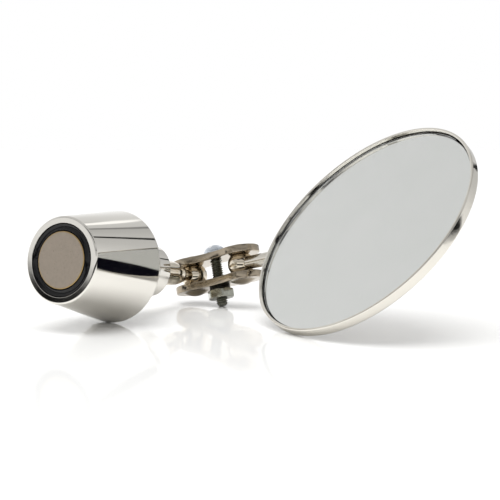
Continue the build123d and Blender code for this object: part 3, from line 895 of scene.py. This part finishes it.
def thread_tree():
    """A rolled thread: a sheet wrapped round Z whose rows climb one pitch a turn."""
    if "rolled_thread" in bpy.data.node_groups:
        return bpy.data.node_groups["rolled_thread"]
    tree = socket_tree("rolled_thread", [("Around", 72), ("Rows", 200), ("Major", 2.1 * MM),
                                         ("Minor", 1.6 * MM), ("Pitch", 0.8 * MM), ("Low", -13 * MM),
                                         ("High", 6 * MM), ("Chamfer", 0.8 * MM)])
    start = node(tree, "NodeGroupInput")

    def sum_of(operation, *feeds):
        """One step of arithmetic on sockets or numbers."""
        return node(tree, "ShaderNodeMath", operation=operation, inputs=dict(enumerate(feeds))).outputs[0]

    g = start.outputs
    sheet = node(tree, "GeometryNodeMeshGrid",
                 inputs={"Vertices X": sum_of("ADD", g["Around"], 1.0), "Vertices Y": g["Rows"]})
    index = node(tree, "GeometryNodeInputIndex").outputs[0]
    row = sum_of("MODULO", index, g["Rows"])
    column = sum_of("FLOOR", sum_of("DIVIDE", index, g["Rows"]))
    share = sum_of("DIVIDE", column, g["Around"])
    # the rows climb a pitch in each turn, so that one row follows the crest all the way
    climb = sum_of("DIVIDE", sum_of("SUBTRACT", row, THREAD_ROWS + 1.0), float(THREAD_ROWS))
    height = sum_of("MULTIPLY_ADD", sum_of("ADD", climb, share), g["Pitch"], g["Low"])
    phase = sum_of("FRACT", sum_of("DIVIDE", sum_of("ADD", row, 0.001), float(THREAD_ROWS)))
    wave = sum_of("ABSOLUTE", sum_of("SUBTRACT", sum_of("MULTIPLY", phase, 2.0), 1.0))
    crest = node(tree, "ShaderNodeMapRange",
                 inputs={"Value": wave, "From Min": 0.12, "From Max": 0.88}).outputs[0]
    depth = sum_of("SUBTRACT", g["Major"], g["Minor"])
    radius = sum_of("MULTIPLY_ADD", crest, depth, g["Minor"])
    kept = sum_of("MINIMUM", sum_of("MAXIMUM", height, g["Low"]), g["High"])
    # the tip is chamfered, and both ends close on the axis
    from_tip = sum_of("SUBTRACT", kept, g["Low"])
    taper = sum_of("ADD", from_tip, sum_of("SUBTRACT", g["Major"], g["Chamfer"]))
    radius = sum_of("MINIMUM", radius, taper)
    first = sum_of("GREATER_THAN", row, 0.5)
    final = sum_of("LESS_THAN", row, sum_of("SUBTRACT", g["Rows"], 1.5))
    radius = sum_of("MULTIPLY", radius, sum_of("MULTIPLY", first, final))
    turn = sum_of("MULTIPLY", sum_of("FRACT", share), 2 * pi)
    spot = node(tree, "ShaderNodeCombineXYZ",
                inputs={"X": sum_of("MULTIPLY", radius, sum_of("COSINE", turn)),
                        "Y": sum_of("MULTIPLY", radius, sum_of("SINE", turn)), "Z": kept})
    moved = node(tree, "GeometryNodeSetPosition",
                 inputs={"Geometry": sheet.outputs[0], "Position": spot.outputs[0]})
    close_tree(tree, start, moved.outputs[0])
    return tree


class MIRROR_OT_screw(bpy.types.Operator):
    """Roll the screw's thread and head it with a slot"""

    bl_idname = "mirror.screw"
    bl_label = "Clamp screw"

    def execute(self, context):
        s = context.scene.mirror_link
        seat = s.half_gap + s.plate_t
        low = seat - s.screw_len
        # three turns more than the length, to fill both ends
        rows = int((s.screw_len / s.pitch + 3.2) * THREAD_ROWS) + 2
        source = bpy.data.meshes.new("thread_seed")
        source.from_pydata([(0, 0, 0)], [], [])
        thread = grown("screw_thread", thread_tree(), source,
                       {"Around": 72, "Rows": rows, "Major": s.thread_r, "Minor": s.root_r, "Pitch": s.pitch,
                        "Low": low, "High": seat + 0.2 * MM, "Chamfer": s.thread_r - s.root_r + 0.35 * MM},
                       "oiled_rolled_thread", LINK_STAND, 20)

        dome_h = s.head_h - s.head_side
        dome_r = (s.head_r ** 2 + dome_h ** 2) / (2 * dome_h)
        sweep = asin(s.head_r / dome_r)
        soft = 0.12 * MM
        outline = [(0, seat), (s.head_r - soft, seat), (s.head_r, seat + soft),
                   (s.head_r, seat + s.head_side - soft)]
        for k in range(17):
            turn = sweep * 0.975 * (1 - k / 16)
            outline.append((dome_r * sin(turn), seat + s.head_h - dome_r * (1 - cos(turn))))
        head = turned("screw_head", outline, 128, "clear_zinc_head", LINK_STAND)
        cutter = slot_cutter(s, seat)
        cut = head.modifiers.new("slot", "BOOLEAN")
        cut.operation = "DIFFERENCE"
        cut.solver = "EXACT"
        cut.object = cutter
        soften = head.modifiers.new("soften", "BEVEL")
        soften.width = 0.06 * MM
        soften.segments = 2
        soften.limit_method = "ANGLE"
        soften.angle_limit = radians(40)
        graph = bpy.context.evaluated_depsgraph_get()
        mesh = bpy.data.meshes.new_from_object(head.evaluated_get(graph), depsgraph=graph)
        head.modifiers.clear()
        head.data = mesh
        bpy.data.objects.remove(cutter)
        soften_shading(mesh, 40)
        screw = joined("clamp_screw_rolled", [head, thread])
        settle(screw, "clamp_screw", "screw_zinc", "clamp_screw")
        return {"FINISHED"}


def slot_cutter(s, seat):
    """The bar that cuts the screwdriver slot, laid across the link."""
    w, d, r = s.slot_w / 2, s.slot_d, 2 * s.head_r
    top = seat + s.head_h
    points = [LINK_STAND @ Vector((x, y, z)) for x in (-w, w) for y in (-r, r) for z in (top - d, top + d)]
    faces = [(0, 1, 3, 2), (4, 6, 7, 5), (0, 4, 5, 1), (2, 3, 7, 6), (0, 2, 6, 4), (1, 5, 7, 3)]
    return mesh_object("slot_cutter", points, faces)


class MIRROR_OT_washer(bpy.types.Operator):
    """Wind the split lock washer above the nut"""

    bl_idname = "mirror.washer"
    bl_label = "Lock washer"

    def execute(self, context):
        s = context.scene.mirror_link
        top = -(s.half_gap + s.plate_t)
        middle_z = top - s.washer_t / 2
        soft = 0.14 * MM
        section = rounded(
            [(s.washer_r, middle_z), (s.washer_r, top - s.washer_t), (s.washer_bore_r, top - s.washer_t),
             (s.washer_bore_r, top), (s.washer_r, top), (s.washer_r, middle_z)],
            {1: soft, 2: soft, 3: soft, 4: soft}, 4)[:-1]
        half_split = s.washer_split / 2 / s.washer_r
        steps, n = 96, len(section)
        points = []
        for k in range(steps + 1):
            # the split is on the far side, its ends cut at a slant
            turn = pi / 2 + half_split + (2 * pi - 2 * half_split) * k / steps
            for r, z in section:
                lean = (z - middle_z) * 0.35 / s.washer_r
                points.append((r * cos(turn + lean), r * sin(turn + lean), z))
        faces = strips(steps + 1, n)
        faces.append(tuple(range(n)))
        faces.append(tuple(steps * n + i for i in reversed(range(n))))
        washer = mesh_object("split_washer", points, faces, LINK_STAND, "spring_steel_washer", 40)
        settle(washer, "clamp_jaw", "washer_steel", "lock_washer")
        return {"FINISHED"}


class MIRROR_OT_nut(bpy.types.Operator):
    """Form the hex nut with chamfered faces and a countersunk bore"""

    bl_idname = "mirror.nut"
    bl_label = "Hex nut"

    def execute(self, context):
        s = context.scene.mirror_link
        seat = s.half_gap + s.plate_t + s.washer_t
        apothem = s.nut_flats / 2
        corner = apothem / cos(pi / 6)
        soft, edge, flare = 0.16 * MM, 0.05 * MM, 0.28 * MM
        # the chamfer starts just inside the flats and falls to its full height at a corner
        start = apothem - edge
        lean = s.nut_chamfer / (corner + edge - start)
        # directions round the nut, in degrees, closer together at each corner
        offs = (0, 0.5, 1.0, 1.6, 2.4, 3.6, 5.5, 8, 12, 16, 20, 25, 30)
        ring = sorted({round((60 * k + side * off) % 360, 4)
                       for k in range(6) for side in (-1, 1) for off in offs})

        def reach(a):
            """Distance to the hexagon at an angle from a corner, its corners rounded."""
            a = abs((a + 30) % 60 - 30)
            flat = apothem / cos(radians(30 - a))
            inside = (corner - soft) / cos(radians(a)) if a < 4 else flat
            h = max(edge - abs(flat - inside), 0) / edge
            return min(flat, inside) - h * h * edge * 0.25

        def profile(a):
            """Half the nut's section at an angle: (radius, depth) from the bore's flare to the flat."""
            out = reach(a)
            drop = max(0.0, (out - start) * lean)
            return [(s.nut_bore_r, flare), (s.nut_bore_r + flare, 0.0), (start - 0.25 * MM, 0.0),
                    (min(start, out), 0.012 * MM), (out - edge, max(drop - edge * 0.4, 0.02 * MM)),
                    (out, drop + edge)]

        halves = [profile(a) for a in ring]
        sections = [half + [(r, s.nut_t - z) for r, z in reversed(half)] for half in halves]
        points = []
        for row in range(12):
            for a, section in zip(ring, sections):
                r, z = section[row]
                turn = radians(a) + s.nut_turn
                points.append((r * cos(turn), r * sin(turn), -seat - z))
        faces = strips(12, len(ring), closed=True)
        nut = mesh_object("hex_nut_formed", points, faces, LINK_STAND, "plated_nut", 28)
        settle(nut, "clamp_jaw", "nut_steel", "hex_nut")
        return {"FINISHED"}


# ---------------------------------------------------------------- mirror head
class MIRROR_OT_rod(bpy.types.Operator):
    """Draw the rod and hollow its end for the ball"""

    bl_idname = "mirror.rod"
    bl_label = "Rod"

    def execute(self, context):
        s = context.scene.mirror_head
        hollow = cup_outline(context.scene.mirror_pot.ball_r + BALL_GAP, s.rod_r)
        body = rounded([(s.rod_r, hollow[-1][1] + 0.02 * MM), (s.rod_r, s.rod_len), (0, s.rod_len)],
                       {1: 0.5 * MM}, 6)
        rod = turned("drawn_rod", hollow + body, 96, "drawn_nickel_rod", ROD_STAND)
        settle(rod, "rod", "rod_nickel", "mirror_rod")
        return {"FINISHED"}


class MIRROR_OT_pan(bpy.types.Operator):
    """Press the pan and seat the glass in it"""

    bl_idname = "mirror.pan"
    bl_label = "Pan, glass and silver"

    def execute(self, context):
        s = context.scene.mirror_head
        back = ROD_POINT + MIRROR_UP * s.rod_off
        place = stand(back, MIRROR_UP, ROD_DIR)
        inner = s.pan_r - s.lip_w
        outline = rounded(
            [(0, s.floor_t), (inner, s.floor_t), (inner, s.pan_h), (s.pan_r, s.pan_h), (s.pan_r, 0), (0, 0)],
            {1: 0.2 * MM, 2: s.lip_round, 3: s.lip_round, 4: s.back_round}, 8)
        pan = turned("pressed_pan", outline, s.steps, "bright_nickel_pan", place)
        # the inner wall and the inside of the lip take the black finish: a painted dark reflection of the
        # surroundings
        pan.data.materials.append(finishes()["black_lacquer"])
        to_pan = place.inverted()
        for face in pan.data.polygons:
            local = to_pan @ face.center
            if inner - 0.05 * MM < hypot(local.x, local.y) < inner + 0.40 * MM and local.z > s.floor_t:
                face.material_index = 1
        settle(pan, "mirror_head", "pan_nickel", "mirror_pan")
        low = s.bed + s.silver_t
        top = low + s.glass_t
        outline = rounded(
            [(0, low), (s.glass_r, low), (s.glass_r, top - s.glass_bevel),
             (s.glass_r - s.glass_bevel, top), (0, top)],
            {1: 0.08 * MM}, 3)
        glass = turned("float_glass_disc", outline, s.steps, "clear_float_glass", place, 20)
        settle(glass, "mirror_head", "glass", "mirror_glass")
        # a hair of air keeps the silver's face clear of the glass's own face
        face = low - 0.012 * MM
        edge = s.glass_r - 0.1 * MM
        silver = turned("silvered_disc", [(0, s.bed), (edge, s.bed), (edge, face), (0, face)],
                        s.steps, "deposited_silver", place, 20)
        settle(silver, "mirror_head", "silver", "silver_layer")
        dress("back_paint", "mirror_back_paint")
        dress("glue_pad", "closed_cell_foam")
        return {"FINISHED"}


class MIRROR_OT_saddle(bpy.types.Operator):
    """Bend the saddle strip over the rod"""

    bl_idname = "mirror.saddle"
    bl_label = "Saddle"

    def execute(self, context):
        s = context.scene.mirror_head
        place = stand(ROD_POINT, ROD_DIR, MIRROR_UP)
        bend = 0.75 * MM
        soft = 0.12 * MM
        inner = s.rod_r + s.saddle_gap
        half = s.saddle_len / 2

        def strip_face(foot, r, fillet):
            """One face of the strip, foot, strap, foot: x runs to the pan's back and y across the rod."""
            side = rounded([(foot, s.saddle_half), (foot, r), (0, r)], {1: fillet}, 6)[:-1]
            over = [(-r * sin(pi * k / 36), r * cos(pi * k / 36)) for k in range(37)]
            return [Vector(p) for p in side + over + [(x, -y) for x, y in reversed(side)]]

        outside = strip_face(s.rod_off - s.saddle_t, inner + s.saddle_t, bend)
        under = strip_face(s.rod_off, inner, bend * 0.5)
        # the strip's section at four places along the rod, drawn in at both ends to soften its edges
        stations = [(-half, soft), (-half + soft, 0.0), (half - soft, 0.0), (half, soft)]
        points = []
        for z, pull in stations:
            share = pull / s.saddle_t
            loop = [o.lerp(u, share) for o, u in zip(outside, under)]
            loop += [u.lerp(o, share) for o, u in zip(reversed(outside), reversed(under))]
            points += [(p.x, p.y, z) for p in loop]
        wide = len(outside)
        ring = 2 * wide
        faces = strips(len(stations), ring)
        base = (len(stations) - 1) * ring
        for k in range(wide - 1):
            faces.append((k, k + 1, ring - 2 - k, ring - 1 - k))
            faces.append((base + k, base + ring - 1 - k, base + ring - 2 - k, base + k + 1))
        saddle = mesh_object("saddle_strap", points, faces, place, "plated_saddle_strip", 30)
        settle(saddle, "mirror_head", "saddle_steel", "rod_saddle")
        return {"FINISHED"}


def rivet_tree():
    """One headed rivet on every point of the source."""
    if "rivets_on_points" in bpy.data.node_groups:
        return bpy.data.node_groups["rivets_on_points"]
    tree = socket_tree("rivets_on_points", [("Head", 1.9 * MM), ("Height", 0.8 * MM), ("Shank", 1.0 * MM),
                                            ("Grip", 1.8 * MM)])
    start = node(tree, "NodeGroupInput")
    g = start.outputs
    dome = node(tree, "GeometryNodeMeshUVSphere", inputs={"Segments": 48, "Rings": 24, "Radius": 1.0})
    squat = node(tree, "ShaderNodeCombineXYZ", inputs={"X": g["Head"], "Y": g["Head"], "Z": g["Height"]})
    headed = node(tree, "GeometryNodeTransform",
                  inputs={"Geometry": dome.outputs[0], "Scale": squat.outputs[0]})
    # a sphere squashed to the head, its inner half flattened onto the strip
    here = node(tree, "GeometryNodeInputPosition")
    parts = node(tree, "ShaderNodeSeparateXYZ", inputs={0: here.outputs[0]})
    flat = node(tree, "ShaderNodeMath", operation="MINIMUM", inputs={0: parts.outputs["Z"], 1: 0.0})
    laid = node(tree, "ShaderNodeCombineXYZ",
                inputs={"X": parts.outputs["X"], "Y": parts.outputs["Y"], "Z": flat.outputs[0]})
    head = node(tree, "GeometryNodeSetPosition",
                inputs={"Geometry": headed.outputs[0], "Position": laid.outputs[0]})
    shank = node(tree, "GeometryNodeMeshCylinder",
                 inputs={"Vertices": 32, "Radius": g["Shank"], "Depth": g["Grip"]})
    lift = node(tree, "ShaderNodeMath", operation="MULTIPLY", inputs={0: g["Grip"], 1: 0.5})
    up = node(tree, "ShaderNodeCombineXYZ", inputs={"Z": lift.outputs[0]})
    post = node(tree, "GeometryNodeTransform",
                inputs={"Geometry": shank.outputs[0], "Translation": up.outputs[0]})
    both = node(tree, "GeometryNodeJoinGeometry")
    tree.links.new(post.outputs[0], both.inputs[0])
    tree.links.new(head.outputs[0], both.inputs[0])
    spread = node(tree, "GeometryNodeInstanceOnPoints",
                  inputs={"Points": start.outputs["Geometry"], "Instance": both.outputs[0]})
    close_tree(tree, start, spread.outputs[0])
    return tree


class MIRROR_OT_rivets(bpy.types.Operator):
    """Head the four rivets of the saddle"""

    bl_idname = "mirror.rivets"
    bl_label = "Rivets"

    def execute(self, context):
        s = context.scene.mirror_head
        foot = ROD_POINT + MIRROR_UP * (s.rod_off - s.saddle_t)
        place = stand(foot, MIRROR_UP, ROD_DIR)
        source = bpy.data.meshes.new("rivet_points")
        spots = [(sx * s.rivet_x, sy * s.rivet_y, 0) for sx in (-1, 1) for sy in (-1, 1)]
        source.from_pydata(spots, [], [])
        rivets = grown("saddle_rivet_heads", rivet_tree(), source,
                       {"Head": s.rivet_head_r, "Height": s.rivet_head_h, "Shank": s.rivet_r,
                        "Grip": s.saddle_t + s.floor_t + 0.2 * MM}, "plated_rivet", place, 40)
        settle(rivets, "mirror_head", "rivet_steel", "saddle_rivets")
        return {"FINISHED"}


# ---------------------------------------------------------------- stage
def white_floor(tone):
    """A wide sheet of glossy white acrylic: it fades to white and mirrors the tool faintly."""
    finish, tree, shader, place = blank("glossy_white_acrylic")
    shader.inputs["IOR"].default_value = 1.25
    shader.inputs["Roughness"].default_value = 0.06
    soft = node(tree, "ShaderNodeTexNoise", inputs={"Vector": place, "Scale": 9.0, "Detail": 2.0})
    node(tree, "ShaderNodeMix", into=shader.inputs["Base Color"], out=2, data_type="RGBA",
         inputs={"Factor": soft.outputs["Fac"], "A": (*tone, 1), "B": (*[c * 0.985 for c in tone], 1)})
    wide = 12.0
    corners = [(-wide, -wide, 0), (wide, -wide, 0), (wide, wide, 0), (-wide, wide, 0)]
    floor = mesh_object("floor_sheet", corners, [(0, 1, 2, 3)])
    floor.data.materials.append(finish)


def light_tent():
    """The world that the metals mirror: a dark opening, paper walls and a grey ceiling."""
    world = bpy.data.worlds.new("light_tent")
    bpy.context.scene.world = world
    world.use_nodes = True
    tent = world.node_tree
    tent.nodes.clear()
    way = node(tent, "ShaderNodeTexCoord").outputs["Generated"]
    parts = node(tent, "ShaderNodeSeparateXYZ", inputs={0: way})
    rise = node(tent, "ShaderNodeMapRange",
                inputs={"Value": parts.outputs["Z"], "From Min": -1.0, "From Max": 1.0})
    # towards the viewer: dark room low down, a white panel, a thin seam, then a grey ceiling
    front = node(tent, "ShaderNodeValToRGB", inputs={"Fac": rise.outputs[0]})
    fill_ramp(front, [(0.0, 0.30), (0.49, 0.30), (0.50, 0.008), (0.568, 0.008), (0.576, 0.92), (0.66, 0.86),
                      (0.665, 0.60), (0.735, 0.58), (0.738, 0.01), (0.745, 0.01), (0.748, 0.55), (0.80, 0.62),
                      (1.0, 0.66)])
    # away from the viewer: bright paper, then a grey ceiling
    rear = node(tent, "ShaderNodeValToRGB", inputs={"Fac": rise.outputs[0]})
    fill_ramp(rear, [(0.0, 0.8), (0.5, 1.08), (0.62, 0.98), (0.74, 0.80), (0.80, 0.77), (0.90, 0.70),
                     (1.0, 0.62)])
    # off to the right the paper ends at a slanting pole, a cable and the edge of a bright panel
    slant = node(tent, "ShaderNodeMath", operation="ADD",
                 inputs={0: parts.outputs["Y"], 1: parts.outputs["Z"]})
    along = node(tent, "ShaderNodeMapRange",
                 inputs={"Value": slant.outputs[0], "From Min": -1.0, "From Max": 1.5})
    right = node(tent, "ShaderNodeValToRGB", inputs={"Fac": along.outputs[0]})
    fill_ramp(right, [(0.0, 0.9), (0.38, 1.05), (0.50, 0.90), (0.60, 0.74), (0.70, 0.64), (0.782, 0.60),
                      (0.785, 0.01), (0.803, 0.01), (0.806, 0.66), (0.86, 0.58), (0.896, 0.54), (0.899, 0.28),
                      (0.909, 0.28), (0.912, 0.70), (0.938, 0.72), (0.941, 1.3), (0.950, 1.3), (0.953, 0.66)])
    veer = node(tent, "ShaderNodeMath", operation="MULTIPLY_ADD",
                inputs={0: parts.outputs["Y"], 1: -0.3, 2: parts.outputs["X"]})
    aside = node(tent, "ShaderNodeMapRange",
                 inputs={"Value": veer.outputs[0], "From Min": -0.06, "From Max": 0.0})
    far = node(tent, "ShaderNodeMix", data_type="RGBA",
               inputs={"Factor": aside.outputs[0], "A": rear.outputs[0], "B": right.outputs[0]})
    facing = node(tent, "ShaderNodeMapRange",
                  inputs={"Value": parts.outputs["Y"], "From Min": -0.12, "From Max": -0.02})
    sides = node(tent, "ShaderNodeMix", data_type="RGBA",
                 inputs={"Factor": facing.outputs[0], "A": front.outputs[0], "B": far.outputs["Result"]})
    # the opening that the viewer looks in through leaves a dark strip in the ceiling
    depth = node(tent, "ShaderNodeMapRange",
                 inputs={"Value": parts.outputs["Y"], "From Min": -1.0, "From Max": 1.0})
    strip = node(tent, "ShaderNodeValToRGB", inputs={"Fac": depth.outputs[0]})
    fill_ramp(strip, [(0.0, 0.0), (0.17, 0.0), (0.175, 1.0), (0.278, 1.0), (0.284, 0.0), (1.0, 0.0)])
    high = node(tent, "ShaderNodeMapRange",
                inputs={"Value": parts.outputs["Z"], "From Min": 0.66, "From Max": 0.70})
    gap = node(tent, "ShaderNodeMath", operation="MULTIPLY", inputs={0: strip.outputs[0], 1: high.outputs[0]})
    both = node(tent, "ShaderNodeMix", data_type="RGBA",
                inputs={"Factor": gap.outputs[0], "A": sides.outputs["Result"],
                        "B": (0.004, 0.004, 0.008, 1)})
    seen = node(tent, "ShaderNodeLightPath")
    plain = node(tent, "ShaderNodeMix", data_type="RGBA",
                 inputs={"Factor": seen.outputs["Is Camera Ray"], "A": both.outputs["Result"],
                         "B": (1.0, 1.0, 1.0, 1)})
    glow = node(tent, "ShaderNodeBackground", inputs={"Color": plain.outputs["Result"], "Strength": 1.0})
    node(tent, "ShaderNodeOutputWorld", inputs={"Surface": glow.outputs[0]})


def lamp(name, kind, power, turn, place=(0, 0, 0), **spread):
    """A lamp that lights the floor and the dull pieces only, so that the metals mirror the tent alone."""
    light = bpy.data.lights.new(name, kind)
    light.energy = power
    for key, value in spread.items():
        setattr(light, key, value)
    holder = bpy.data.objects.new(name, light)
    holder.location = place
    holder.rotation_euler = turn
    holder.visible_glossy = False
    holder.visible_transmission = False
    bpy.context.scene.collection.objects.link(holder)


def viewer():
    """The camera: square on, about five degrees above the level."""
    lens = bpy.data.cameras.new("viewer")
    lens.lens = 81.73
    lens.sensor_width = 36.0
    lens.clip_start = 0.01
    eye = bpy.data.objects.new("viewer", lens)
    eye.location = (0.669 * MM, -370.461 * MM, 58.154 * MM)
    eye.rotation_euler = (radians(90 - 5.332), 0, 0)
    bpy.context.scene.collection.objects.link(eye)
    bpy.context.scene.camera = eye


class MIRROR_OT_stage(bpy.types.Operator):
    """Lay the floor, set the lights and the camera"""

    bl_idname = "mirror.stage"
    bl_label = "Floor, light and camera"

    def execute(self, context):
        context.scene.view_settings.view_transform = "Standard"
        white_floor(context.scene.mirror_finish.floor)
        light_tent()
        for name, spot, power, size in (("overhead_box", Vector((0.02, 0.05, 0.62)), 1.6, 0.8),
                                        ("left_box", Vector((-0.62, -0.25, 0.42)), 0.8, 0.45)):
            lamp(name, "AREA", power, (-spot).to_track_quat("-Z", "Y").to_euler(), spot, size=size)
        lamp("high_daylight", "SUN", 1.7, (radians(8), radians(-6), 0), angle=radians(50))
        viewer()
        return {"FINISHED"}


class MIRROR_PT_panel(bpy.types.Panel):
    """Lists the pieces of the mirror"""

    bl_idname = "MIRROR_PT_panel"
    bl_label = "Inspection mirror"
    bl_space_type = "VIEW_3D"
    bl_region_type = "UI"
    bl_category = "Mirror"

    def draw(self, context):
        for step in STEPS:
            self.layout.operator(step.bl_idname)
        for group in GROUPS:
            box = self.layout.box()
            for key in GROUPS[group].__annotations__:
                box.prop(getattr(context.scene, group), key)


STEPS = [MIRROR_OT_pot, MIRROR_OT_magnet, MIRROR_OT_stud, MIRROR_OT_plates, MIRROR_OT_screw, MIRROR_OT_washer,
         MIRROR_OT_nut, MIRROR_OT_rod, MIRROR_OT_pan, MIRROR_OT_saddle, MIRROR_OT_rivets, MIRROR_OT_stage]


def register():
    """Registers the sizes, the operators and the panel."""
    for kind in [*GROUPS.values(), *STEPS, MIRROR_PT_panel]:
        bpy.utils.register_class(kind)
    for name, kind in GROUPS.items():
        setattr(bpy.types.Scene, name, bpy.props.PointerProperty(type=kind))


def unregister():
    """Takes all of them away again."""
    for name in GROUPS:
        delattr(bpy.types.Scene, name)
    for kind in reversed([*GROUPS.values(), *STEPS, MIRROR_PT_panel]):
        bpy.utils.unregister_class(kind)


def main():
    """Builds every piece."""
    register()
    for step in STEPS:
        group, name = step.bl_idname.split(".")
        getattr(getattr(bpy.ops, group), name)()


if __name__ == "__main__":
    main()
